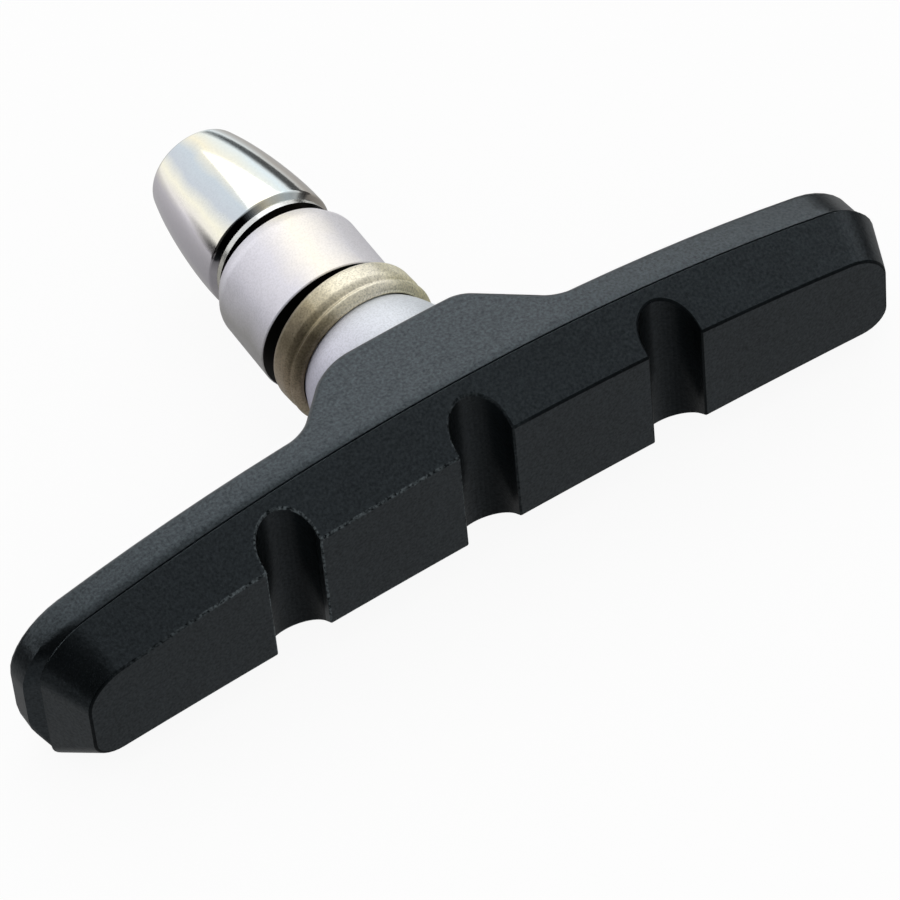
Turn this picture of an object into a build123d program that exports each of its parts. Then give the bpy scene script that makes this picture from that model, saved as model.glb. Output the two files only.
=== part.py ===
from build123d import *
import os
from math import sqrt

# All depths are measured along the post, from the friction face at depth 0 toward the nut.

# Rubber pad: outline of the back layer, seen along the post
pad_length = 72.0
pad_height = 15.0
pad_rise = 0.2  # mid height of the pad above the post axis, at mid length
back_arch = 142.0  # radius of the upper edge at the back layer
face_arch = 195.0  # radius of the upper edge at the friction face
foot_arch = 530.0  # radius of the lower edge
back_upper_corner = 4.6
back_lower_corner = 6.0

# Rubber pad: depths and edges
block_depth = 3.75  # friction face to the parting line
back_depth = 6.75  # friction face to the back of the back layer
boss_depth = 11.2  # friction face to the end of the boss
upper_taper = 2.6  # upper side of the friction block, from the parting line to the face
lower_taper = 2.15  # its lower side
end_taper = 1.5  # each of its ends
parting_corner = 4.0  # upper corners of the friction block at the parting line
face_corner = 3.1  # the same at the friction face
block_lower_corner = 2.2
mould_shift = 0.6  # friction block along +X from the back layer
parting_step = 0.2  # friction block inside the back layer, at the sides
end_step = 0.4  # the same at the ends
parting_crease = 0.15  # depth of the crease between the block and the back layer
parting_flare = 0.8  # past the parting line, where the back layer reaches its full outline
back_taper = 0.3
back_bevel = 0.5
face_edge = 0.3

# Rubber pad: waisted boss in the middle of the back
boss_end_width = 11.6
boss_end_shift = -0.5  # end of the boss along X from the post axis
boss_foot_width = 21.6
boss_end_round = 2.6
boss_foot_round = 3.0

# Rubber pad: water grooves across the friction face
groove_count = 3
groove_pitch = 16.15
groove_width = 4.4
groove_depth = 2.9

# Backing plate, moulded into the back layer
plate_length = 46.0
plate_height = 7.0
plate_thickness = 1.5
plate_cover = 0.55  # rubber of the back layer in front of the plate

# Threaded post, metric M6
thread_diameter = 6.0
post_recess = 0.4  # end of the post below the floor of the socket
post_chamfer = 0.7
rivet_diameter = 9.0
rivet_thickness = 0.8
collar_diameter = 9.4

# Clearances in the stack
thread_clearance = 0.05  # on the radius, post in the nut
washer_clearance = 0.35  # on the radius, post in the dome washers
swivel_clearance = 1.0  # on the radius, post in the cup washers, which can lean
ball_clearance = 0.05  # between each dome and its cup
arm_gap = 0.85  # between the cups, at the post axis

# Inner dome washer, on the boss
inner_ball_radius = 6.3
inner_rim_thickness = 1.4
inner_dome_rise = 4.6  # flat end of the dome past the ball centre

# Inner cup washer, leaning on its dome
inner_cup_stand = 3.2  # front of the cup past the ball centre
inner_cup_length = 3.3
inner_bead_radius = 6.2
inner_groove_depth = 0.42
inner_lip_drop = 0.5
inner_cup_lean = 1.5  # degrees, toward -X

# Outer cup washer, leaning on its dome
outer_cup_radius = 5.9
outer_cup_length = 7.25
outer_cup_edge = 0.15
outer_bevel_radial = 0.65
outer_bevel_axial = 1.2
outer_cup_lean = 2.0  # degrees, of its front toward -X and toward -Z

# Outer dome washer, under the nut
outer_ball_radius = 5.6
outer_rim_radius = 4.9
outer_rim_thickness = 0.6
outer_rim_stand = 0.6  # rim above the end of the outer cup

# Cap nut
nut_length = 10.9
nut_radius = 5.25
nut_mid_radius = 4.95
nut_tip_radius = 4.0
nut_tip_round = 0.9  # height and width of the rounded tip, as two bevels
nut_bevel_radial = 0.5
nut_bevel_axial = 0.4
socket_flats = 5.0
socket_depth = 3.5
socket_bevel = 0.15

# Depths that follow from the sizes above
plate_front = block_depth + plate_cover
plate_back = plate_front + plate_thickness
inner_ball_depth = boss_depth + inner_rim_thickness
inner_dome_back = inner_ball_depth + inner_dome_rise
inner_cup_front = inner_ball_depth + inner_cup_stand
inner_cup_back = inner_cup_front + inner_cup_length
seat_depth = inner_cup_back + arm_gap / 2
outer_cup_front = inner_cup_back + arm_gap
outer_cup_back = outer_cup_front + outer_cup_length
outer_rim_front = outer_cup_back + outer_rim_stand
nut_front = outer_rim_front + outer_rim_thickness
nut_back = nut_front + nut_length
post_end = nut_back - socket_depth - post_recess
post_radius = thread_diameter / 2
washer_bore = post_radius + washer_clearance
swivel_bore = post_radius + swivel_clearance


def arc_drop(radius, half_chord):
    return radius - sqrt(radius**2 - half_chord**2)


# Pad outline at a depth, set in at its upper side, its lower side and its ends
def pad_outline(depth, insets, arch, upper_corner, lower_corner):
    top_inset, foot_inset, end_inset = insets
    half = pad_length / 2 - end_inset
    top = pad_rise + pad_height / 2 - top_inset
    foot = pad_rise - pad_height / 2 + foot_inset
    top_end = top - arc_drop(arch, half)
    foot_end = foot - arc_drop(foot_arch, half)
    upper = ThreePointArc((-half, top_end), (0, top), (half, top_end))
    lower = ThreePointArc((half, foot_end), (0, foot), (-half, foot_end))
    outline = make_face([upper, Line(upper @ 1, lower @ 0), lower, Line(lower @ 1, upper @ 0)])
    outline = fillet(outline.vertices().group_by(Axis.Y)[-1], upper_corner)
    outline = fillet(outline.vertices().group_by(Axis.Y)[0], lower_corner)
    return Plane.XZ.offset(-depth) * outline


# Solid of revolution about the post axis, from a closed profile of (radius, depth)
def turned(profile):
    return revolve(make_face(profile), Axis.Y)


def ball(radius, depth):
    return Pos(0, depth, 0) * Sphere(radius)


def bore(radius, front, back):
    return turned(Polyline((0, front), (radius, front), (radius, back), (0, back), close=True))


# Turns a shape about a ball centre on the post axis
def tilted(shape, depth, turn):
    return Pos(0, depth, 0) * turn * Pos(0, -depth, 0) * shape


# Outline of the friction block, with a share of its taper and an edge cut off all round
def block_outline(depth, taper_share, edge, arch, upper_corner):
    insets = (
        parting_step + taper_share * upper_taper + edge,
        parting_step + taper_share * lower_taper + edge,
        end_step + taper_share * end_taper + edge,
    )
    outline = pad_outline(depth, insets, arch, upper_corner - edge, block_lower_corner - edge)
    return Pos(mould_shift, 0, 0) * outline


# Outline of the back layer and the boss
def back_outline(depth, inset):
    insets = (inset, inset, inset)
    return pad_outline(depth, insets, back_arch, back_upper_corner - inset, back_lower_corner - inset)


# Friction block: bevelled face, tapered sides and ends
block = loft(
    [
        block_outline(0, 1, face_edge, face_arch, face_corner),
        block_outline(face_edge, 1, 0, face_arch, face_corner),
        block_outline(block_depth, 0, 0, back_arch, parting_corner),
    ],
    ruled=True,
)

# Back layer and boss: flared out from the parting crease, then cut to a plan view with a waisted boss
half_plan = pad_length / 2 + 1
plan = make_face(
    Polyline(
        (-half_plan, block_depth),
        (-half_plan, back_depth),
        (-boss_foot_width / 2, back_depth),
        (boss_end_shift - boss_end_width / 2, boss_depth),
        (boss_end_shift + boss_end_width / 2, boss_depth),
        (boss_foot_width / 2, back_depth),
        (half_plan, back_depth),
        (half_plan, block_depth),
        close=True,
    )
)
plan = fillet(plan.vertices().group_by(Axis.Y)[-1], boss_end_round)
foot_corners = [v for v in plan.vertices() if abs(abs(v.X) - boss_foot_width / 2) < 0.01]
plan = fillet(foot_corners, boss_foot_round)
flare_back = block_depth + parting_flare
sides = loft(
    [
        block_outline(block_depth, 0, parting_crease, back_arch, parting_corner),
        back_outline(flare_back, 0),
        back_outline(boss_depth, back_taper),
    ],
    ruled=True,
)
back = sides & extrude(plan, pad_height, both=True)
back_edges = [
    e
    for e in back.edges()
    if abs((e % 0.5).Z) < 0.9 and e.bounding_box().min.Y > flare_back + 0.1
]
back = chamfer(back_edges, back_bevel)

# Water grooves with a round bottom and a bevelled mouth
groove_radius = groove_width / 2
groove_centre = groove_depth - groove_radius
groove = Pos(0, groove_centre) * Circle(groove_radius)
groove += make_face(
    Polyline(
        (-groove_radius, groove_centre),
        (-groove_radius, face_edge),
        (-groove_radius - 2 * face_edge, -face_edge),
        (groove_radius + 2 * face_edge, -face_edge),
        (groove_radius, face_edge),
        (groove_radius, groove_centre),
        close=True,
    )
)
groove_cutter = extrude(groove, pad_height, both=True)
first_groove = -groove_pitch * (groove_count - 1) / 2
block -= [Pos(first_groove + i * groove_pitch, 0, 0) * groove_cutter for i in range(groove_count)]

# Threaded post: rivet head, neck through the plate, collar to the end of the boss, shank
threaded_post = turned(
    Polyline(
        (0, plate_front - rivet_thickness),
        (rivet_diameter / 2, plate_front - rivet_thickness),
        (rivet_diameter / 2, plate_front),
        (post_radius, plate_front),
        (post_radius, plate_back),
        (collar_diameter / 2, plate_back),
        (collar_diameter / 2, boss_depth),
        (post_radius, boss_depth),
        (post_radius, post_end - post_chamfer),
        (post_radius - post_chamfer, post_end),
        (0, post_end),
        close=True,
    )
)

# Backing plate with full round ends
plate_outline = Plane.XZ.offset(-plate_front) * SlotOverall(plate_length, plate_height)
plate_blank = extrude(plate_outline, -plate_thickness)
backing_plate = plate_blank - threaded_post

# Rubber pad, moulded round the plate and the post
rubber_pad = block + back - plate_blank - threaded_post

# Inner dome washer: half ball on a straight rim, cut flat
inner_dome = bore(inner_ball_radius, boss_depth, inner_ball_depth)
inner_dome += ball(inner_ball_radius, inner_ball_depth)
inner_dome &= bore(inner_ball_radius, boss_depth, inner_dome_back)
inner_dome_washer = inner_dome - bore(washer_bore, boss_depth, inner_dome_back)

# Inner cup washer: two beads with a turned groove between them
bead_split = (inner_cup_front + inner_cup_back) / 2
groove_floor = inner_bead_radius - inner_groove_depth
lip_radius = inner_bead_radius - inner_lip_drop
inner_cup = turned(
    Polyline(
        (swivel_bore, inner_cup_front),
        (lip_radius, inner_cup_front),
        (inner_bead_radius, inner_cup_front + inner_lip_drop),
        (inner_bead_radius, bead_split - inner_groove_depth),
        (groove_floor, bead_split),
        (inner_bead_radius, bead_split + inner_groove_depth),
        (inner_bead_radius, inner_cup_back - inner_lip_drop),
        (lip_radius, inner_cup_back),
        (swivel_bore, inner_cup_back),
        close=True,
    )
)
inner_cup -= ball(inner_ball_radius + ball_clearance, inner_ball_depth)
inner_cup_washer = tilted(inner_cup, inner_ball_depth, Rot(0, 0, inner_cup_lean))

# Outer dome washer: shallow ball under a thin rim
outer_ball_depth = outer_rim_front + sqrt(outer_ball_radius**2 - outer_rim_radius**2)
outer_dome = ball(outer_ball_radius, outer_ball_depth)
outer_dome &= bore(outer_rim_radius, outer_cup_front, outer_rim_front)
outer_dome += bore(outer_rim_radius, outer_rim_front, nut_front)
outer_dome_washer = outer_dome - bore(washer_bore, outer_cup_front, nut_front)

# Outer cup washer: straight side with a bevel toward the nut
outer_cup = turned(
    Polyline(
        (swivel_bore, outer_cup_front),
        (outer_cup_radius - outer_cup_edge, outer_cup_front),
        (outer_cup_radius, outer_cup_front + outer_cup_edge),
        (outer_cup_radius, outer_cup_back - outer_bevel_axial),
        (outer_cup_radius - outer_bevel_radial, outer_cup_back),
        (swivel_bore, outer_cup_back),
        close=True,
    )
)
outer_cup -= ball(outer_ball_radius + ball_clearance, outer_ball_depth)
outer_cup_washer = tilted(outer_cup, outer_ball_depth, Rot(outer_cup_lean, 0, -outer_cup_lean))

# Cap nut: bulged taper with a round tip, tapped from the front and with a hex socket at the back
nut_side = ThreePointArc(
    (nut_radius, nut_front + nut_bevel_axial),
    (nut_mid_radius, nut_front + nut_length / 2),
    (nut_tip_radius, nut_back - nut_tip_round),
)
nut_core = Polyline(
    nut_side @ 1,
    (nut_tip_radius - nut_tip_round / 3, nut_back - nut_tip_round / 3),
    (nut_tip_radius - nut_tip_round, nut_back),
    (0, nut_back),
    (0, nut_front),
    (nut_radius - nut_bevel_radial, nut_front),
    nut_side @ 0,
)
cap_nut = turned([nut_side, nut_core])
cap_nut -= bore(post_radius + thread_clearance, nut_front, nut_back - socket_depth)
socket = Plane.XZ.offset(-nut_back) * RegularPolygon(socket_flats / 2, 6, major_radius=False)
cap_nut -= extrude(socket, socket_depth)
socket_corner = socket_flats / sqrt(3)
socket_mouth = socket_corner + socket_bevel
mouth_cone = Polyline((0, nut_back - socket_mouth), (socket_mouth, nut_back), (0, nut_back), close=True)
cap_nut -= turned(mouth_cone)

nodes = {
    "rubber_pad": rubber_pad,
    "backing_plate": backing_plate,
    "threaded_post": threaded_post,
    "inner_dome_washer": inner_dome_washer,
    "inner_cup_washer": inner_cup_washer,
    "outer_cup_washer": outer_cup_washer,
    "outer_dome_washer": outer_dome_washer,
    "cap_nut": cap_nut,
}

# The origin is the middle of the arm gap, on the post axis
os.makedirs("parts", exist_ok=True)
for name, shape in nodes.items():
    export_step(Pos(0, -seat_depth, 0) * shape, f"parts/{name}.step")
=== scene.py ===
import math

import bmesh
import bpy
from mathutils import Matrix, Quaternion, Vector


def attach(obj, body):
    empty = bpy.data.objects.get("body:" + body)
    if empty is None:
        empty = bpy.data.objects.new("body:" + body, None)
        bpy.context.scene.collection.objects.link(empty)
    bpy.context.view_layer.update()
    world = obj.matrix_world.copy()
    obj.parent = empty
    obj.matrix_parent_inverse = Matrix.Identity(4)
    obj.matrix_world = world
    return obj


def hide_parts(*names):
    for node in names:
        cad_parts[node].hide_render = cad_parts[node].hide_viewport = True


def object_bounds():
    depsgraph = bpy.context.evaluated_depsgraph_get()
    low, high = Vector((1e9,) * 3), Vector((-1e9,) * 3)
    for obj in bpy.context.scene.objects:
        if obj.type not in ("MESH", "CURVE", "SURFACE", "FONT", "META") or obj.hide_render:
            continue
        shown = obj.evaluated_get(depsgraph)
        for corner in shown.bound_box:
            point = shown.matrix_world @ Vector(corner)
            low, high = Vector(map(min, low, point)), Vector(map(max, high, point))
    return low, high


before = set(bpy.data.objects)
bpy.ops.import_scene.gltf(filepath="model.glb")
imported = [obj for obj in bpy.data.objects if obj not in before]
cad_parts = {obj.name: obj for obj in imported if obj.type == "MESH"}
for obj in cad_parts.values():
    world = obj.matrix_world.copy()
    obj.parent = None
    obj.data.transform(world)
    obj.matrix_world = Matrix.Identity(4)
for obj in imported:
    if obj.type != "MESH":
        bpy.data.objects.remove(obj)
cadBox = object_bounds()
mm = 0.001
scene = bpy.context.scene
scene.view_settings.view_transform = "Standard"
print("frame loaded,", len(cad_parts), "solids")


# sRGB hex to the linear colour that a node takes
def linear(code):
    shares = [int(code[i:i + 2], 16) / 255 for i in (1, 3, 5)]
    return [s / 12.92 if s <= 0.04045 else ((s + 0.055) / 1.055) ** 2.4 for s in shares] + [1.0]


# adds a node, sets its properties and inputs, links what feeds it, and gives a ramp its stops as
# (place, hex); a Mix node's inputs go by number: 0 the share, 2 and 3 numbers, 6 and 7 colours
def addNode(tree, kind, settings=None, links=None, stops=()):
    made = tree.nodes.new(kind)
    for key, value in (settings or {}).items():
        if isinstance(key, str) and hasattr(made, key):
            setattr(made, key, value)
        else:
            made.inputs[key].default_value = value
    for key, source in (links or {}).items():
        tree.links.new(source, made.inputs[key])
    for extra in stops[2:]:      # a new ramp has two stops
        made.color_ramp.elements.new(0.5)
    for i, (place, code) in enumerate(stops):
        made.color_ramp.elements[i].position = place
        made.color_ramp.elements[i].color = linear(code)
    return made


def newMaterial(name):
    material = bpy.data.materials.new(name)
    material.use_nodes = True
    material.node_tree.nodes.clear()
    return material, material.node_tree


# how many pattern cells go into a metre, for a cell of this size in mm
def perMetre(size):
    return 1 / (size * mm)


# Moulded black rubber: a dark skin, half matt, with a fine mould grain, a little bloom, specks of
# dust and a painted highlight on some edges; the grain is drawn coarser than the real one, so that it
# shows
rubberLook = {"skin": "#060809", "bloom": "#0c1012", "edgeHighlight": "#545b5e", "speck": "#4d5354",
              "bloomSize": 5.0, "bloomRange": (0.3, 0.75),
              "grainSize": 0.22, "grainDepth": 0.03, "grainStrength": 0.5,
              "speckSpacing": 5.0, "speckReach": (0.025, 0.015),      # shares of the spacing
              "roughness": (0.25, 0.34), "ior": 1.5,
              "gloss": 0.66, "glossTint": (0.76, 0.9, 1.0, 1.0),
              "sparkleRange": (0.3, 0.7), "sparkle": (0.6, 1.4),      # gloss follows the grain
              "highlightMiddle": -14.0, "highlightReach": (18.0, 8.0),      # along the pad
              "highlightRange": (0.36, 0.7)}                             # grain that takes the mark


def mouldedRubber():
    look = rubberLook
    material, tree = newMaterial("mouldedBlackRubber")
    place = addNode(tree, "ShaderNodeTexCoord").outputs["Object"]
    bloom = addNode(tree, "ShaderNodeTexNoise",
                    {"Scale": perMetre(look["bloomSize"]), "Detail": 6.0}, {"Vector": place})
    grain = addNode(tree, "ShaderNodeTexNoise",
                    {"Scale": perMetre(look["grainSize"]), "Detail": 3.0, "Roughness": 0.6},
                    {"Vector": place})
    low, high = look["bloomRange"]
    skin = addNode(tree, "ShaderNodeValToRGB", links={"Fac": bloom.outputs["Fac"]},
                   stops=[(low, look["skin"]), (high, look["bloom"])])

    # painted highlight: pale broken marks on the rounded friction edges, on one stretch of the pad
    highlightMask = addNode(tree, "ShaderNodeAttribute", {"attribute_name": "paintedEdgeHighlight"})
    axes = addNode(tree, "ShaderNodeSeparateXYZ", links={0: place})
    offset = addNode(tree, "ShaderNodeMath",
                     {"operation": "SUBTRACT", 1: look["highlightMiddle"] * mm}, {0: axes.outputs["X"]})
    away = addNode(tree, "ShaderNodeMath", {"operation": "ABSOLUTE"}, {0: offset.outputs[0]})
    far, near = look["highlightReach"]
    along = addNode(tree, "ShaderNodeMapRange", {"From Min": far * mm, "From Max": near * mm},
                    {"Value": away.outputs[0]})
    low, high = look["highlightRange"]
    broken = addNode(tree, "ShaderNodeMapRange", {"From Min": low, "From Max": high},
                     {"Value": grain.outputs["Fac"]})
    stretch = addNode(tree, "ShaderNodeMath", {"operation": "MULTIPLY"},
                      {0: along.outputs[0], 1: broken.outputs[0]})
    highlightShare = addNode(tree, "ShaderNodeMath", {"operation": "MULTIPLY"},
                        {0: highlightMask.outputs["Fac"], 1: stretch.outputs[0]})
    edgeHighlight = addNode(tree, "ShaderNodeMix", {"data_type": "RGBA", 7: linear(look["edgeHighlight"])},
                     {0: highlightShare.outputs[0], 6: skin.outputs["Color"]})

    # a few specks of dust
    dust = addNode(tree, "ShaderNodeTexVoronoi", {"Scale": perMetre(look["speckSpacing"])},
                   {"Vector": place})
    rim, heart = look["speckReach"]
    dustShare = addNode(tree, "ShaderNodeMapRange", {"From Min": rim, "From Max": heart},
                        {"Value": dust.outputs["Distance"]})
    dusty = addNode(tree, "ShaderNodeMix", {"data_type": "RGBA", 7: linear(look["speck"])},
                    {0: dustShare.outputs[0], 6: edgeHighlight.outputs[2]})

    # gloss: less on dull faces, and it sparkles with the grain
    low, high = look["roughness"]
    rough = addNode(tree, "ShaderNodeMapRange", {"To Min": low, "To Max": high},
                    {"Value": bloom.outputs["Fac"]})
    bump = addNode(tree, "ShaderNodeBump",
                   {"Strength": look["grainStrength"], "Distance": look["grainDepth"] * mm},
                   {"Height": grain.outputs["Fac"]})
    dull = addNode(tree, "ShaderNodeAttribute", {"attribute_name": "dull"})
    gloss = addNode(tree, "ShaderNodeMapRange", {"To Min": look["gloss"], "To Max": 0.0},
                    {"Value": dull.outputs["Fac"]})
    low, high = look["sparkleRange"]
    dim, bright = look["sparkle"]
    sparkle = addNode(tree, "ShaderNodeMapRange",
                      {"From Min": low, "From Max": high, "To Min": dim, "To Max": bright},
                      {"Value": grain.outputs["Fac"]})
    grained = addNode(tree, "ShaderNodeMath", {"operation": "MULTIPLY"},
                      {0: gloss.outputs[0], 1: sparkle.outputs[0]})
    # the plain gloss is set as well, because the export drops the link
    shader = addNode(tree, "ShaderNodeBsdfPrincipled",
                     {"IOR": look["ior"], "Specular Tint": look["glossTint"],
                      "Specular IOR Level": look["gloss"]},
                     {"Base Color": dusty.outputs[2], "Roughness": rough.outputs[0],
                      "Normal": bump.outputs[0], "Specular IOR Level": grained.outputs[0]})
    addNode(tree, "ShaderNodeOutputMaterial", links={"Surface": shader.outputs[0]})
    return material


# Zinc plate on turned steel: pale metal whose passivation film is tinted in soft streaks along the
# post, partly painted highlight and painted shade, with lathe lines round it, a fine plating grain,
# and near-black painted shade on marked faces in the gaps between parts; lines and grain are drawn
# coarser than real ones, so that they show
plating = {"paintedDark": "#100e0c", "mottleRange": (0.35, 0.6), "lineWander": 0.6, "markDepth": 0.02,
           "waveTurn": 20.0}      # radians of a Wave texture at a scale of 1


def zincPlate(name, look):
    material, tree = newMaterial(name)
    place = addNode(tree, "ShaderNodeTexCoord").outputs["Object"]

    # the tints stand at shares of a turn, 0.5 at +X and 0.75 on top, and drift a little; fixed round
    # the post, they hold painted highlights and painted shade as well as the film's colour
    film = addNode(tree, "ShaderNodeTexNoise",
                   {"Scale": perMetre(look["filmSize"]), "Detail": 3.0}, {"Vector": place})
    upright = addNode(tree, "ShaderNodeMapping", {"Rotation": (-math.pi / 2, 0, 0)},
                      {"Vector": place})
    turn = addNode(tree, "ShaderNodeTexGradient", {"gradient_type": "RADIAL"},
                   {"Vector": upright.outputs[0]})
    drift = addNode(tree, "ShaderNodeMath", {"operation": "MULTIPLY_ADD", 1: look["filmDrift"]},
                    {0: film.outputs["Fac"], 2: turn.outputs["Fac"]})
    centred = addNode(tree, "ShaderNodeMath", {"operation": "SUBTRACT", 1: look["filmDrift"] / 2},
                      {0: drift.outputs[0]})
    tint = addNode(tree, "ShaderNodeValToRGB", links={"Fac": centred.outputs[0]},
                   stops=look["tints"])

    # plating grain over the tint, and painted shade over both
    grain = addNode(tree, "ShaderNodeTexNoise",
                    {"Scale": perMetre(look["grainSize"]), "Detail": 3.0}, {"Vector": place})
    low, high = plating["mottleRange"]
    speckled = addNode(tree, "ShaderNodeMapRange",
                       {"From Min": low, "From Max": high, "To Min": 1 - look["mottle"]},
                       {"Value": grain.outputs["Fac"]})
    grained = addNode(tree, "ShaderNodeMix",
                      {"data_type": "RGBA", "blend_type": "MULTIPLY", 0: 1.0},
                      {6: tint.outputs["Color"], 7: speckled.outputs[0]})
    # painted shade: marked faces go near black
    paintedShade = addNode(tree, "ShaderNodeAttribute", {"attribute_name": "paintedShade"})
    withPaintedShade = addNode(tree, "ShaderNodeMix", {"data_type": "RGBA", 7: linear(plating["paintedDark"])},
                      {0: paintedShade.outputs["Fac"], 6: grained.outputs[2]})

    # lathe lines and grain in relief
    waves = perMetre(look["lathePitch"]) * math.tau / plating["waveTurn"]
    lathe = addNode(tree, "ShaderNodeTexWave",
                    {"bands_direction": "Y", "Scale": waves, "Distortion": plating["lineWander"],
                     "Detail": 1.0}, {"Vector": place})
    marks = addNode(tree, "ShaderNodeMix", {0: look["latheShare"]},
                    {2: grain.outputs["Fac"], 3: lathe.outputs["Fac"]})
    low, high = look["roughness"]
    rough = addNode(tree, "ShaderNodeMapRange", {"To Min": low, "To Max": high},
                    {"Value": grain.outputs["Fac"]})
    bump = addNode(tree, "ShaderNodeBump",
                   {"Strength": look["bump"], "Distance": plating["markDepth"] * mm},
                   {"Height": marks.outputs[0]})
    shader = addNode(tree, "ShaderNodeBsdfPrincipled", {"Metallic": look["metallic"]},
                     {"Base Color": withPaintedShade.outputs[2], "Roughness": rough.outputs[0],
                      "Normal": bump.outputs[0]})
    addNode(tree, "ShaderNodeOutputMaterial", links={"Surface": shader.outputs[0]})
    return material


# polished and clear passivated: mirror bright, with cream, blue and lavender streaks that are partly
# the film's colour and partly painted reflection
polishedLook = {"tints": [(0.0, "#cfcbd2"), (0.2, "#e0dcd0"), (0.4, "#d2dbe0"), (0.56, "#c9c2b8"),
                          (0.63, "#bdb6ac"), (0.69, "#e6f2f6"), (0.757, "#fbf4dc"),
                          (0.8, "#cdd7df"), (0.838, "#cbd2da"), (0.878, "#fbf7e4"),
                          (0.93, "#dcd8de"), (1.0, "#cfcbd2")],
                "filmSize": 5.0, "filmDrift": 0.06, "grainSize": 0.16, "lathePitch": 1.257,
                "latheShare": 0.2, "roughness": (0.07, 0.15), "mottle": 0.05, "metallic": 1.0,
                "bump": 0.06}
# satin plated: softer, lavender grey, with a cream patch on top that is a painted highlight, and
# painted shade toward -X
satinLook = {"tints": [(0.0, "#b4b2b1"), (0.3, "#dcdae0"), (0.56, "#e4e2e8"), (0.66, "#eeecf0"),
                       (0.75, "#fff9ec"), (0.83, "#f4f2fa"), (0.91, "#e8e6f0"), (1.0, "#b4b2b1")],
             "filmSize": 4.0, "filmDrift": 0.08, "grainSize": 0.14, "lathePitch": 1.131,
             "latheShare": 0.35, "roughness": (0.4, 0.5), "mottle": 0.12, "metallic": 0.5,
             "bump": 0.1}
# yellow chromate: straw coloured, lightest on top, a painted highlight, and brown on the upper left,
# a painted dark reflection
yellowLook = {"tints": [(0.0, "#b09f88"), (0.3, "#c8bc96"), (0.56, "#efe8bc"), (0.62, "#f6f0cc"),
                        (0.7, "#faf4e0"), (0.78, "#eee6cc"), (0.83, "#b0a486"), (0.88, "#6e6450"),
                        (0.93, "#7d725c"), (1.0, "#b09f88")],
              "filmSize": 2.4, "filmDrift": 0.1, "grainSize": 0.15, "lathePitch": 1.382,
              "latheShare": 0.5, "roughness": (0.24, 0.36), "mottle": 0.34, "metallic": 0.5,
              "bump": 0.16}
# pale zinc: bluish white and dull, with a painted highlight on top and painted shade toward -X
paleLook = {"tints": [(0.0, "#c4c2d2"), (0.35, "#d8dade"), (0.62, "#dfe5ea"), (0.75, "#e8ecf2"),
                      (0.86, "#e6e6f2"), (1.0, "#c4c2d2")],
            "filmSize": 4.0, "filmDrift": 0.1, "grainSize": 0.14, "lathePitch": 1.257,
            "latheShare": 0.3, "roughness": (0.5, 0.6), "mottle": 0.16, "metallic": 0.5,
            "bump": 0.08}
# bright zinc: clean and shiny, a thin line under the nut
brightLook = {"tints": [(0.0, "#d6d3c6"), (0.4, "#e6e4da"), (0.8, "#d8dadb"), (1.0, "#d6d3c6")],
              "filmSize": 3.0, "filmDrift": 0.2, "grainSize": 0.15, "lathePitch": 1.257,
              "latheShare": 0.4, "roughness": (0.16, 0.26), "mottle": 0.1, "metallic": 1.0,
              "bump": 0.08}
# rolled thread: grey zinc, mottled and duller than the rest
threadLook = {"tints": [(0.0, "#8f8f8c"), (0.4, "#aeaeaa"), (0.7, "#9c9a94"), (1.0, "#8f8f8c")],
              "filmSize": 2.0, "filmDrift": 0.6, "grainSize": 0.14, "lathePitch": 1.571,
              "latheShare": 0.3, "roughness": (0.34, 0.48), "mottle": 0.3, "metallic": 1.0,
              "bump": 0.12}
# plain strip steel with a dull rolled skin
stripLook = {"tints": [(0.0, "#7c7e80"), (0.4, "#8d8f90"), (0.7, "#84827e"), (1.0, "#7c7e80")],
             "filmSize": 4.0, "filmDrift": 0.8, "grainSize": 0.2, "lathePitch": 2.513,
             "latheShare": 0.2, "roughness": (0.4, 0.55), "mottle": 0.3, "metallic": 1.0,
             "bump": 0.12}

rubber = mouldedRubber()
polishedZinc = zincPlate("polishedZinc", polishedLook)
satinZinc = zincPlate("satinZinc", satinLook)
yellowZinc = zincPlate("yellowChromateZinc", yellowLook)
paleZinc = zincPlate("paleZinc", paleLook)
brightZinc = zincPlate("brightZinc", brightLook)
threadSteel = zincPlate("rolledThreadSteel", threadLook)
stripSteel = zincPlate("rolledStripSteel", stripLook)
print("materials ready")


# a finished bmesh becomes an object at the origin
def meshObject(name, bm):
    mesh = bpy.data.meshes.new(name)
    bm.to_mesh(mesh)
    bm.free()
    made = bpy.data.objects.new(name, mesh)
    scene.collection.objects.link(made)
    return made


# a piece of the object, with its finish and the solid that it stands for
def addPiece(name, bm, material, replaced, creaseAngle):
    piece = meshObject(name, bm)
    mesh = piece.data
    mesh.materials.append(material)
    mesh.shade_smooth()
    mesh.set_sharp_from_angle(angle=math.radians(creaseAngle))
    normals = piece.modifiers.new("evenShading", "WEIGHTED_NORMAL")
    normals.keep_sharp = True
    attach(piece, "root")
    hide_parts(replaced)
    print("made", name, len(mesh.polygons), "faces")


def clipped(share):
    return min(1.0, max(0.0, share))


# marks faces for painted shade, near black, in the gaps between parts; the function given gives the
# share at a place
def markPaintedShade(bm, paintedShadeAt):
    layer = bm.faces.layers.float.new("paintedShade")
    for face in bm.faces:
        face[layer] = clipped(float(paintedShadeAt(face.calc_center_median() / mm)))


# shared by the profiles: points on a rounded corner, gap to merge in mm, and how much of its side
# a full arc takes, so that two arcs don't meet in one point
lathework = {"cornerSteps": 10, "merge": 0.0005, "nearlyFull": 0.999}


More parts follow.
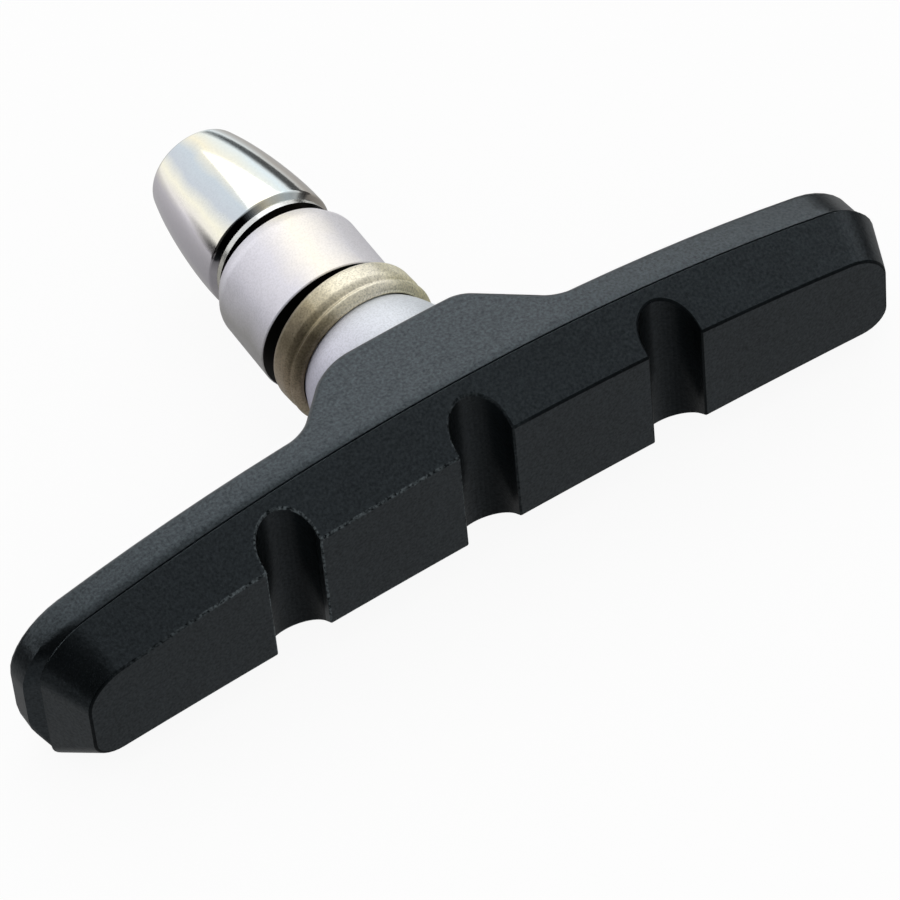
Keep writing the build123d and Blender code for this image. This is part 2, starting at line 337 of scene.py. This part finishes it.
# wire in the XY plane, from corners of (radius, place along the post, rounding) in mm
def profileWire(bm, corners, closed):
    verts = [bm.verts.new((radius * mm, place * mm, 0)) for radius, place, rounding in corners]
    for first, second in zip(verts, verts[1:]):
        bm.edges.new((first, second))
    if closed:
        bm.edges.new((verts[-1], verts[0]))
    for vert, (radius, place, rounding) in zip(verts, corners):
        if rounding:
            bmesh.ops.bevel(bm, geom=[vert], offset=rounding * mm, offset_type="OFFSET",
                            segments=lathework["cornerSteps"], profile=0.5, affect="VERTICES",
                            material=-1, clamp_overlap=False)


# corner whose rounding is the arc of a ball about the post, from one radius to another;
# side is 1 past the ball's centre along the post, -1 before it
def ballCorner(ball, centre, fromRadius, toRadius, side):
    start = math.acos(fromRadius / ball)
    end = math.acos(toRadius / ball)
    half = abs(end - start) / 2
    middle = (start + end) / 2
    reach = ball / math.cos(half)
    return (reach * math.cos(middle), centre + side * reach * math.sin(middle),
            ball * math.tan(half) * lathework["nearlyFull"])


# place along the post where a ball has this radius
def ballPlace(ball, centre, radius, side):
    return centre + side * math.sqrt(ball ** 2 - radius ** 2)


# the wire turned round the post, as on a lathe
def turned(bm, steps):
    bmesh.ops.spin(bm, geom=bm.verts[:] + bm.edges[:], cent=(0, 0, 0), axis=(0, 1, 0),
                   angle=math.tau, steps=steps, use_merge=True)
    bmesh.ops.remove_doubles(bm, verts=bm.verts, dist=lathework["merge"] * mm)
    bmesh.ops.recalc_face_normals(bm, faces=bm.faces)


# leans a washer about the ball centre that it sits on
def lean(bm, centre, degreesX, degreesZ):
    aboutX = Matrix.Rotation(math.radians(degreesX), 4, "X")
    aboutZ = Matrix.Rotation(math.radians(degreesZ), 4, "Z")
    middle = Matrix.Translation((0, centre * mm, 0))
    bmesh.ops.transform(bm, verts=bm.verts, matrix=middle @ aboutX @ aboutZ @ middle.inverted())


# Rubber pad: the outline of the mould at each level, bent to the curve of a wheel rim; the water
# grooves and the plan of the boss are cut out of it, and its edges are rounded as a mould leaves them
padMould = {"length": 72.0, "height": 14.98, "rise": 0.2, "footArch": 530.0,
            "cuts": 19, "cornerSteps": 8,
            # place along the post, insets above, below and at the ends, corners above and below,
            # shift along the pad, radius of the upper arch
            "levels": [(-19.525, 3.03, 2.54, 2.03, 3.0, 2.2, 0.6, 195.0),      # friction face
                       (-15.775, 0.2, 0.2, 0.4, 4.0, 2.2, 0.6, 142.0),         # parting line
                       (-15.745, 0.27, 0.27, 0.47, 3.93, 2.13, 0.6, 142.0),    # seam behind it
                       (-15.645, 0.27, 0.27, 0.47, 3.93, 2.13, 0.6, 142.0),
                       (-15.605, 0.15, 0.2, 0.45, 4.1, 2.6, 0.55, 142.0),
                       (-14.975, 0.0, 0.0, 0.0, 4.6, 6.0, 0.0, 142.0),         # widest
                       (-7.825, 0.32, 0.32, 0.32, 4.3, 5.7, 0.0, 142.0)],      # past the boss
            "parting": 1, "widest": -2,      # which levels these are
            "grooves": (-16.15, 0.0, 16.15), "grooveHalf": 2.2, "grooveFloor": -16.625,
            "grooveFront": -21.0,
            # plan of the back as corners of (along the pad, along the post, rounding)
            "plan": [(-38.0, -12.775, 0), (-10.8, -12.775, 1.23), (-6.3, -8.325, 2.0),
                     (5.3, -8.325, 0.92), (10.8, -12.775, 1.06), (38.0, -12.775, 0),
                     (38.0, -5.0, 0), (-38.0, -5.0, 0)],
            "cutHeight": 24.0, "merge": 0.01, "sharp": 30.0, "clearOf": 0.1,
            "backRound": 0.5, "backSteps": 5, "faceRound": 0.15, "faceSteps": 3,
            "grooveDull": (0.35, 0.8), "dullSlope": 1.4, "wallLean": 0.3, "edgeDull": 0.85,
            "crease": 40.0}


def arcDrop(radius, along):
    return radius - math.sqrt(radius ** 2 - along ** 2)


# one level of the mould as a closed wire, all levels with as many points
def padOutline(level):
    place, above, below, ends, upperCorner, lowerCorner, shift, arch = level
    half = padMould["length"] / 2 - ends
    top = padMould["rise"] + padMould["height"] / 2 - above
    foot = padMould["rise"] - padMould["height"] / 2 + below
    bm = bmesh.new()
    corners = [bm.verts.new((x * mm, place * mm, z * mm)) for x, z in
               ((-half, top), (half, top), (half, foot), (-half, foot))]
    for first, second in zip(corners, corners[1:] + corners[:1]):
        bm.edges.new((first, second))
    for vert, rounding in zip(corners, (upperCorner, upperCorner, lowerCorner, lowerCorner)):
        bmesh.ops.bevel(bm, geom=[vert], offset=rounding * mm, offset_type="OFFSET",
                        segments=padMould["cornerSteps"], profile=0.5, affect="VERTICES",
                        material=-1, clamp_overlap=False)
    longEdges = sorted(bm.edges, key=lambda e: e.calc_length())[-2:]
    bmesh.ops.subdivide_edges(bm, edges=longEdges, cuts=padMould["cuts"])
    for vert in bm.verts:      # bend to the arch
        x, z = vert.co.x / mm, vert.co.z / mm
        share = (z - foot) / (top - foot)
        drop = share * arcDrop(arch, x) + (1 - share) * arcDrop(padMould["footArch"], x)
        vert.co = ((x + shift) * mm, place * mm, (z - drop) * mm)
    wire = bpy.data.meshes.new("padOutline")
    bm.to_mesh(wire)
    bm.free()
    return wire


# the levels of the mould joined to one closed body
def padBody():
    bm = bmesh.new()
    for level in padMould["levels"]:
        wire = padOutline(level)
        bm.from_mesh(wire)
        bpy.data.meshes.remove(wire)
    bm.edges.ensure_lookup_table()
    perLoop = len(bm.edges) // len(padMould["levels"])
    loops = [bm.edges[i:i + perLoop] for i in range(0, len(bm.edges), perLoop)]
    for first, second in zip(loops, loops[1:]):
        bmesh.ops.bridge_loops(bm, edges=first + second)
    for loop in (loops[0], loops[-1]):
        bmesh.ops.contextual_create(bm, geom=loop)
    bmesh.ops.recalc_face_normals(bm, faces=bm.faces)
    return bm


# what is cut out of the moulding: the plan behind the back layer and the grooves
def padCutters():
    bm = bmesh.new()
    half, floor, front = padMould["grooveHalf"], padMould["grooveFloor"], padMould["grooveFront"]
    floorRound = half * lathework["nearlyFull"]
    profileWire(bm, padMould["plan"], True)
    for x in padMould["grooves"]:
        profileWire(bm, [(x - half, front, 0), (x + half, front, 0), (x + half, floor, floorRound),
                         (x - half, floor, floorRound)], True)
    bmesh.ops.translate(bm, verts=bm.verts, vec=(0, 0, -padMould["cutHeight"] / 2 * mm))
    bmesh.ops.edgeloop_fill(bm, edges=bm.edges)
    raised = bmesh.ops.extrude_face_region(bm, geom=bm.faces[:])["geom"]
    bmesh.ops.translate(bm, verts=[g for g in raised if isinstance(g, bmesh.types.BMVert)],
                        vec=(0, 0, padMould["cutHeight"] * mm))
    bmesh.ops.recalc_face_normals(bm, faces=bm.faces)
    return bm


# one closed mesh less another
def cutAway(body, cutter):
    cut = body.modifiers.new("cut", "BOOLEAN")
    cut.operation = "DIFFERENCE"
    cut.solver = "EXACT"
    cut.object = cutter
    finished = body.evaluated_get(bpy.context.evaluated_depsgraph_get())
    result = bpy.data.meshes.new_from_object(finished)
    bm = bmesh.new()
    bm.from_mesh(result)
    for mesh in (result, body.data, cutter.data):
        bpy.data.meshes.remove(mesh)
    return bm


def sharpEdges(bm):
    limit = math.radians(padMould["sharp"])
    return [e for e in bm.edges if e.is_manifold and e.calc_face_angle() > limit]


def roundEdges(bm, edges, size, steps):
    return bmesh.ops.bevel(bm, geom=edges, offset=size * mm, offset_type="OFFSET", segments=steps,
                           profile=0.5, affect="EDGES", material=-1, clamp_overlap=False,
                           loop_slide=True)["faces"]


def rubberPad():
    bm = cutAway(meshObject("padBody", padBody()), meshObject("padCutter", padCutters()))
    bmesh.ops.remove_doubles(bm, verts=bm.verts, dist=padMould["merge"] * mm)
    beforeParting = (padMould["levels"][padMould["parting"]][0] - padMould["clearOf"]) * mm
    pastWidest = (padMould["levels"][padMould["widest"]][0] + padMould["clearOf"]) * mm
    backEdges = [e for e in sharpEdges(bm) if min(v.co.y for v in e.verts) > pastWidest]
    roundEdges(bm, backEdges, padMould["backRound"], padMould["backSteps"])
    faceEdges = [e for e in sharpEdges(bm) if max(v.co.y for v in e.verts) < beforeParting]
    for name in ("paintedEdgeHighlight", "dull"):
        bm.faces.layers.float.new(name)
    highlightEdgeFaces = roundEdges(bm, faceEdges, padMould["faceRound"], padMould["faceSteps"])
    edgeHighlight, dull = bm.faces.layers.float["paintedEdgeHighlight"], bm.faces.layers.float["dull"]
    low, high = padMould["grooveDull"]
    for face in bm.faces:      # the walls of the grooves are duller than the rest
        middle = face.calc_center_median()
        nearest = min(abs(middle.x - x * mm) for x in padMould["grooves"])
        inGroove = nearest < padMould["grooveHalf"] * mm and middle.y < beforeParting
        if inGroove and abs(face.normal.z) < padMould["wallLean"]:
            face[dull] = low + (high - low) * clipped(-padMould["dullSlope"] * face.normal.x)
    # painted highlight on the rounded friction edges
    for face in highlightEdgeFaces:
        face[edgeHighlight] = 1.0
        face[dull] = padMould["edgeDull"]
    addPiece("rubberPad", bm, rubber, "rubber_pad", padMould["crease"])


rubberPad()

# Backing plate stays as the solid, hidden in the rubber
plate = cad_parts["backing_plate"]
plate.data.materials.clear()
plate.data.materials.append(stripSteel)

# Inner dome washer: half ball on a short rim, flat on the boss
innerDome = {"steps": 160, "ball": 6.3, "centre": -6.925, "foot": -8.325, "rise": 4.6,
             "bore": 3.35, "edge": 0.1, "footEdge": 0.2, "crease": 35.0}


def innerDomeWasher():
    ball, centre, foot = innerDome["ball"], innerDome["centre"], innerDome["foot"]
    bore, edge = innerDome["bore"], innerDome["edge"]
    topRadius = math.sqrt(ball ** 2 - innerDome["rise"] ** 2)
    top = centre + innerDome["rise"]
    bm = bmesh.new()
    profileWire(bm, [(bore, foot, edge), (ball, foot, innerDome["footEdge"]),
                     ballCorner(ball, centre, ball, topRadius, 1), (topRadius, top, edge),
                     (bore, top, edge)], True)
    turned(bm, innerDome["steps"])
    addPiece("innerDomeWasher", bm, paleZinc, "inner_dome_washer", innerDome["crease"])


innerDomeWasher()

# Inner cup washer: two beads with a turned groove between, leaning on its dome
innerCup = {"steps": 160, "front": -3.725, "back": -0.425, "bead": 6.2, "beadEdge": 0.3,
            "groove": 5.78, "grooveEdge": 0.25, "split": -2.75, "grooveHalf": 0.36,
            "lip": 5.7, "lipDrop": 0.4, "lipEdge": 0.2, "bore": 4.0, "boreEdge": 0.15,
            "seatGap": 0.05, "seatEdge": 0.05, "lean": 1.5, "shadeDepth": 0.02, "crease": 35.0}


def innerCupWasher():
    front, back, split = innerCup["front"], innerCup["back"], innerCup["split"]
    bead, beadEdge, half = innerCup["bead"], innerCup["beadEdge"], innerCup["grooveHalf"]
    lip, lipDrop, lipEdge = innerCup["lip"], innerCup["lipDrop"], innerCup["lipEdge"]
    bore, seatEdge = innerCup["bore"], innerCup["seatEdge"]
    ball, centre = innerDome["ball"] + innerCup["seatGap"], innerDome["centre"]
    seat = math.sqrt(ball ** 2 - (front - centre) ** 2)
    bm = bmesh.new()
    profileWire(bm, [(bore, ballPlace(ball, centre, bore, 1), seatEdge),
                     ballCorner(ball, centre, seat, bore, 1), (seat, front, seatEdge),
                     (lip, front, lipEdge), (bead, front + lipDrop, beadEdge),
                     (bead, split - half, beadEdge),
                     (innerCup["groove"], split, innerCup["grooveEdge"]),
                     (bead, split + half, beadEdge), (bead, back - lipDrop, beadEdge),
                     (lip, back, lipEdge), (bore, back, innerCup["boreEdge"])], True)
    turned(bm, innerCup["steps"])
    # painted shade on the back face, in the gap to the outer cup washer
    markPaintedShade(bm, lambda at: at.y > back - innerCup["shadeDepth"])
    lean(bm, centre, 0, innerCup["lean"])
    addPiece("innerCupWasher", bm, yellowZinc, "inner_cup_washer", innerCup["crease"])


innerCupWasher()

# Outer cup washer: straight side, bevelled toward the nut, leaning on its dome
outerCup = {"steps": 160, "front": 0.425, "back": 7.675, "radius": 5.9, "edge": 0.15,
            "bevelRadial": 0.65, "bevelAxial": 1.2, "bevelEdges": (0.3, 0.1), "bore": 4.0,
            "ball": 5.65, "centre": 10.986, "seatEdge": 0.05, "lean": 2.0, "shadeDepth": 0.02,
            "crease": 35.0}


def outerCupWasher():
    front, back, radius = outerCup["front"], outerCup["back"], outerCup["radius"]
    ball, centre, bore = outerCup["ball"], outerCup["centre"], outerCup["bore"]
    edge, seatEdge = outerCup["edge"], outerCup["seatEdge"]
    bevelStart, bevelEnd = outerCup["bevelEdges"]
    seat = math.sqrt(ball ** 2 - (back - centre) ** 2)
    bm = bmesh.new()
    profileWire(bm, [(bore, front, edge), (radius, front, edge),
                     (radius, back - outerCup["bevelAxial"], bevelStart),
                     (radius - outerCup["bevelRadial"], back, bevelEnd), (seat, back, seatEdge),
                     ballCorner(ball, centre, seat, bore, -1),
                     (bore, ballPlace(ball, centre, bore, -1), seatEdge)], True)
    turned(bm, outerCup["steps"])
    # painted shade on the front face, in the gap to the inner cup washer
    markPaintedShade(bm, lambda at: at.y < front + outerCup["shadeDepth"])
    lean(bm, centre, outerCup["lean"], -outerCup["lean"])
    addPiece("outerCupWasher", bm, satinZinc, "outer_cup_washer", outerCup["crease"])


outerCupWasher()

# Outer dome washer: a thin rim that shows below the nut, with a shallow ball under it
outerDome = {"steps": 160, "seatGap": 0.05, "rim": 4.9, "rimFront": 8.275, "rimBack": 8.875,
             "bore": 3.35, "edge": 0.05, "backEdge": 0.12, "shadeDepth": 0.06, "crease": 35.0}


def outerDomeWasher():
    ball, centre = outerCup["ball"] - outerDome["seatGap"], outerCup["centre"]
    rim, front, back = outerDome["rim"], outerDome["rimFront"], outerDome["rimBack"]
    bore, edge = outerDome["bore"], outerDome["edge"]
    bm = bmesh.new()
    profileWire(bm, [(bore, ballPlace(ball, centre, bore, -1), edge),
                     ballCorner(ball, centre, rim, bore, -1), (rim, front, edge),
                     (rim, back, outerDome["backEdge"]), (bore, back, edge)], True)
    turned(bm, outerDome["steps"])
    # painted shade on the front of the rim and the ball under it, in the gap to the outer cup washer
    markPaintedShade(bm, lambda at: at.y < front + outerDome["shadeDepth"])
    addPiece("outerDomeWasher", bm, brightZinc, "outer_dome_washer", outerDome["crease"])


outerDomeWasher()

# Cap nut: bulged taper with a round tip and a hex socket; bulge is a corner of the profile, and tip
# a radius with its rounding
capNut = {"steps": 192, "back": 19.775, "radius": 5.25, "bevelRadial": 0.5, "bevelAxial": 0.4,
          "bevelEdges": (0.1, 0.15), "bulge": (5.333, 14.167, 4.6), "tip": (3.745, 0.63),
          "mouth": 3.03, "leadIn": 0.3, "bore": 3.05, "flats": 5.0, "socket": 3.5, "crease": 35.0,
          # painted shade on the bevel: its middle and reach in degrees round the post, and its
          # strength
          "shadeMiddle": 128.0, "shadeReach": 25.0, "paintedDark": 1.6, "shadeShort": 0.04}


# a circle of edges round the post
def roundLoop(bm, segments, radius, place):
    upright = Matrix.Translation((0, place * mm, 0)) @ Matrix.Rotation(math.pi / 2, 4, "X")
    circle = bmesh.ops.create_circle(bm, segments=segments, radius=radius * mm, matrix=upright)
    return list({e for v in circle["verts"] for e in v.link_edges})


def capNutPiece():
    front, back, steps = outerDome["rimBack"], capNut["back"], capNut["steps"]
    radius, bore = capNut["radius"], capNut["bore"]
    bevelBack = front + capNut["bevelAxial"]
    bevelStart, bevelEnd = capNut["bevelEdges"]
    tipRadius, tipRound = capNut["tip"]
    bm = bmesh.new()
    profileWire(bm, [(bore, front, 0), (radius - capNut["bevelRadial"], front, bevelStart),
                     (radius, bevelBack, bevelEnd), capNut["bulge"],
                     (tipRadius, back, tipRound), (capNut["mouth"], back, 0)], False)
    turned(bm, steps)
    rims = sorted([e for e in bm.edges if e.is_boundary], key=lambda e: e.verts[0].co.y)
    frontRim, mouthRim = rims[:steps], rims[steps:]

    # hex socket: six sides divided so that each loop has as many points as the turned rims
    loops = [mouthRim]
    floor = back - capNut["socket"]
    for place in (back - capNut["leadIn"], floor):
        sides = roundLoop(bm, 6, capNut["flats"] / math.sqrt(3), place)
        cut = bmesh.ops.subdivide_edges(bm, edges=sides, cuts=steps // 6 - 1)["geom"]
        loops.append(list({e for e in cut if isinstance(e, bmesh.types.BMEdge)}))
    loops.append(roundLoop(bm, steps, bore, floor))
    loops.append(frontRim)
    for first, second in zip(loops, loops[1:]):
        bmesh.ops.bridge_loops(bm, edges=first + second)
    bmesh.ops.recalc_face_normals(bm, faces=bm.faces)

    # painted shade, darkest on the upper left of the bevel
    def paintedShadeAt(at):      # on the upper left of the bevel
        away = abs(math.degrees(math.atan2(at.z, at.x)) - capNut["shadeMiddle"])
        onBevel = at.y < bevelBack - capNut["shadeShort"]
        return onBevel * (capNut["paintedDark"] - away / capNut["shadeReach"])

    markPaintedShade(bm, paintedShadeAt)
    addPiece("capNut", bm, polishedZinc, "cap_nut", capNut["crease"])


capNutPiece()

# Threaded post: rolled M6 thread, collar in the boss and rivet head behind the plate;
# flank and crest flat are shares of the pitch
post = {"steps": 48, "crest": 3.0, "root": 2.6, "pitch": 1.0, "flank": 0.4, "crestFlat": 0.12,
        "start": -8.6, "end": 15.875, "runIn": 1.33,      # so that the cuts miss the rows of points
        "chamfer": 0.7, "merge": 0.002, "collar": 4.7, "plateBack": -13.725, "plateFront": -15.225,
        "rivet": 4.5, "rivetFront": -16.025, "rivetEdge": 0.3, "edge": 0.1, "neck": 3.0,
        "crease": 30.0}


# the foot of the post, from the rivet head to the collar, which ends level with the boss
def postFoot():
    collar, neck, rivet, edge = post["collar"], post["neck"], post["rivet"], post["edge"]
    plateFront, plateBack, collarBack = post["plateFront"], post["plateBack"], innerDome["foot"]
    bm = bmesh.new()
    profileWire(bm, [(0, post["rivetFront"], 0), (rivet, post["rivetFront"], post["rivetEdge"]),
                     (rivet, plateFront, edge), (neck, plateFront, 0), (neck, plateBack, 0),
                     (collar, plateBack, edge), (collar, collarBack, edge),
                     (0, collarBack, 0)], False)
    turned(bm, post["steps"])
    foot = bpy.data.meshes.new("postFoot")
    bm.to_mesh(foot)
    bm.free()
    return foot


def threadedPost():
    pitch, crest, root, steps = post["pitch"], post["crest"], post["root"], post["steps"]
    turns = math.ceil((post["end"] - post["start"]) / pitch) + 2      # two to spare for the cuts
    first = post["start"] - post["runIn"] * pitch
    crestStart = first + post["flank"] * pitch
    crestEnd = crestStart + post["crestFlat"] * pitch
    bm = bmesh.new()
    profileWire(bm, [(root, first, 0), (crest, crestStart, 0), (crest, crestEnd, 0),
                     (root, crestEnd + post["flank"] * pitch, 0), (root, first + pitch, 0)], False)
    bmesh.ops.spin(bm, geom=bm.verts[:] + bm.edges[:], cent=(0, 0, 0), axis=(0, 1, 0),
                   dvec=(0, pitch * mm / steps, 0), angle=math.tau * turns, steps=steps * turns)
    bmesh.ops.remove_doubles(bm, verts=bm.verts, dist=post["merge"] * mm)
    for place, away in ((post["start"], -1), (post["end"], 1)):
        cut = bmesh.ops.bisect_plane(bm, geom=bm.verts[:] + bm.edges[:] + bm.faces[:],
                                     plane_co=(0, place * mm, 0), plane_no=(0, away, 0),
                                     clear_outer=True)
        rim = [e for e in cut["geom_cut"] if isinstance(e, bmesh.types.BMEdge)]
        bmesh.ops.contextual_create(bm, geom=rim)
    for vert in bm.verts:      # chamfered end
        limit = (crest - max(0, vert.co.y / mm - post["end"] + post["chamfer"])) * mm
        reach = math.hypot(vert.co.x, vert.co.z)
        if reach > limit:
            vert.co.x *= limit / reach
            vert.co.z *= limit / reach
    bmesh.ops.recalc_face_normals(bm, faces=bm.faces)
    foot = postFoot()
    bm.from_mesh(foot)
    bpy.data.meshes.remove(foot)
    addPiece("threadedPost", bm, threadSteel, "threaded_post", post["crease"])


threadedPost()

# camera of the photograph: a long lens from high on the left; places in mm
cameraSet = {"eye": (-139.411, -260.189, 317.418), "aim": (-0.383, -14.911, 0.0), "roll": 5.873,
             "lens": 240.0, "sensor": 36.0, "clipEnd": 10.0}


def photoCamera():
    data = bpy.data.cameras.new("photoCamera")
    data.lens = cameraSet["lens"]
    data.sensor_width = cameraSet["sensor"]
    data.clip_end = cameraSet["clipEnd"]
    camera = bpy.data.objects.new("photoCamera", data)
    scene.collection.objects.link(camera)
    eye = Vector(cameraSet["eye"]) * mm
    aim = Vector(cameraSet["aim"]) * mm
    roll = Quaternion((0, 0, 1), -math.radians(cameraSet["roll"]))
    camera.location = eye
    camera.rotation_mode = "QUATERNION"
    camera.rotation_quaternion = (aim - eye).to_track_quat("-Z", "Y") @ roll
    scene.camera = camera


photoCamera()
print("camera placed")

# studio: white floor and dome, a softbox behind, and soft-edged dark cards that only reflections
# see; a card is a dome, a sheet on the floor (lift in mm) or a sheet that faces the object, and is
# darkest at its middle and clear at its reach; domes need a radius each, or they hide one another
studio = {"floorSize": 2.0, "floorShadow": 0.08, "floorColour": "#f2f2f2", "domeStrength": 0.8,
          "softbox": {"place": (0.25, 0.35, 0.55), "size": 0.6, "power": 0.8},
          "cards": {"darkLeft": {"dome": 0.9, "middle": (-0.753, -0.435, 0.233),
                                 "reach": (0.927, 0.927, 0.927), "fade": 0.257, "depth": 0.98},
                    "dimFront": {"dome": 1.0, "middle": (0.262, -0.72, 0.643),
                                 "reach": (1.286, 1.286, 1.286), "fade": 0.468, "depth": 0.6},
                    "lowRight": {"sheet": 0.14, "middle": (0.085, 0.025, 0.003),
                                 "reach": (0.13, 0.13, 0.021), "fade": 0.4, "depth": 0.9},
                    "lowLeft": {"sheet": 0.05, "middle": (-0.06, 0.022, 0.001),
                                "reach": (0.045, 0.045, 0.015), "fade": 0.4, "depth": 0.9},
                    "lowFront": {"sheet": 0.06, "middle": (0.045, -0.08, 0.0),
                                 "reach": (0.05, 0.05, 0.014), "fade": 0.4, "depth": 0.9},
                    "onFloor": {"lift": 0.3, "sheet": 0.6, "middle": (-0.12, -0.16, 0.0),
                                "reach": (0.45, 0.25, 1.0), "fade": 0.3, "depth": 0.7},
                    "floorLeft": {"lift": 0.5, "sheet": 0.12, "middle": (-0.074, -0.022, 0.0),
                                  "reach": (0.03, 0.03, 1.0), "fade": 0.5, "depth": 0.6}}}


def stageObject(name, bm, material):
    prop = meshObject(name, bm)
    prop.data.materials.append(material)
    return prop


# 1 for the rays that see the backdrop white: the camera's, and those in metal and glass
def backdropRays(tree):
    ray = addNode(tree, "ShaderNodeLightPath")
    seen = addNode(tree, "ShaderNodeMath", {"operation": "MAXIMUM"},
                   {0: ray.outputs["Is Camera Ray"], 1: ray.outputs["Is Glossy Ray"]})
    shown = addNode(tree, "ShaderNodeMath", {"operation": "MAXIMUM"},
                    {0: seen.outputs[0], 1: ray.outputs["Is Transmission Ray"]})
    return shown.outputs[0]


def studioFloor():
    material, tree = newMaterial("paleStudioFloor")
    material.cycles.emission_sampling = "NONE"      # its glow is seen, and lights nothing
    share = addNode(tree, "ShaderNodeMath",
                    {"operation": "MULTIPLY", 1: 1 - studio["floorShadow"]}, {0: backdropRays(tree)})
    matt = addNode(tree, "ShaderNodeBsdfDiffuse", {"Color": linear(studio["floorColour"])})
    white = addNode(tree, "ShaderNodeEmission", {"Color": (1, 1, 1, 1), "Strength": 1.0})
    mix = addNode(tree, "ShaderNodeMixShader",
                  links={0: share.outputs[0], 1: matt.outputs[0], 2: white.outputs[0]})
    addNode(tree, "ShaderNodeOutputMaterial", links={"Surface": mix.outputs[0]})
    bm = bmesh.new()
    bmesh.ops.create_grid(bm, x_segments=1, y_segments=1, size=studio["floorSize"],
                          matrix=Matrix.Translation((0, 0, cadBox[0].z)))
    stageObject("studioFloor", bm, material)


def studioDome():
    world = bpy.data.worlds.new("studioDome")
    scene.world = world
    world.cycles.sampling_method = "NONE"      # so that the cards can stand before it
    world.use_nodes = True
    tree = world.node_tree
    tree.nodes.clear()
    lit = addNode(tree, "ShaderNodeBackground",
                  {"Color": (1, 1, 1, 1), "Strength": studio["domeStrength"]})
    plain = addNode(tree, "ShaderNodeBackground", {"Color": (1, 1, 1, 1), "Strength": 1.0})
    mix = addNode(tree, "ShaderNodeMixShader",
                  links={0: backdropRays(tree), 1: lit.outputs[0], 2: plain.outputs[0]})
    addNode(tree, "ShaderNodeOutputWorld", links={"Surface": mix.outputs[0]})


def softbox():
    place = Vector(studio["softbox"]["place"])
    light = bpy.data.lights.new("softbox", "AREA")
    light.size = studio["softbox"]["size"]
    light.energy = studio["softbox"]["power"]
    lamp = bpy.data.objects.new("softbox", light)
    lamp.location = place
    lamp.rotation_mode = "QUATERNION"
    lamp.rotation_quaternion = (-place).to_track_quat("-Z", "Y")
    scene.collection.objects.link(lamp)


def cardMaterial(name, card):
    material, tree = newMaterial(name)
    place = addNode(tree, "ShaderNodeTexCoord").outputs["Object"]
    centred = addNode(tree, "ShaderNodeMapping",
                      {"vector_type": "TEXTURE", "Location": card["middle"], "Scale": card["reach"]},
                      {"Vector": place})
    blob = addNode(tree, "ShaderNodeTexGradient", {"gradient_type": "SPHERICAL"},
                   {"Vector": centred.outputs[0]})
    share = addNode(tree, "ShaderNodeMapRange",
                    {"From Max": card["fade"], "To Max": card["depth"]},
                    {"Value": blob.outputs["Fac"]})
    clear = addNode(tree, "ShaderNodeBsdfTransparent")
    black = addNode(tree, "ShaderNodeBsdfDiffuse", {"Color": (0, 0, 0, 1)})
    mix = addNode(tree, "ShaderNodeMixShader",
                  links={0: share.outputs[0], 1: clear.outputs[0], 2: black.outputs[0]})
    addNode(tree, "ShaderNodeOutputMaterial", links={"Surface": mix.outputs[0]})
    return material


def darkCard(name, card):
    material = cardMaterial(name, card)
    floor = cadBox[0].z
    bm = bmesh.new()
    if "dome" in card:
        bmesh.ops.create_uvsphere(bm, u_segments=64, v_segments=32, radius=card["dome"])
        bmesh.ops.bisect_plane(bm, geom=bm.verts[:] + bm.edges[:] + bm.faces[:],
                               plane_co=(0, 0, floor), plane_no=(0, 0, -1), clear_outer=True)
    else:
        middle = Vector(card["middle"])
        facing = Matrix.Translation(middle) @ middle.to_track_quat("Z", "Y").to_matrix().to_4x4()
        if "lift" in card:
            facing = Matrix.Translation((0, 0, floor + card["lift"] * mm))
        bmesh.ops.create_grid(bm, x_segments=1, y_segments=1, size=card["sheet"], matrix=facing)
    prop = stageObject(name, bm, material)
    prop.visible_camera = False
    prop.visible_diffuse = False
    prop.visible_transmission = False
    prop.visible_shadow = False


studioFloor()
studioDome()
softbox()
for name, card in studio["cards"].items():
    darkCard(name, card)
print("studio ready")
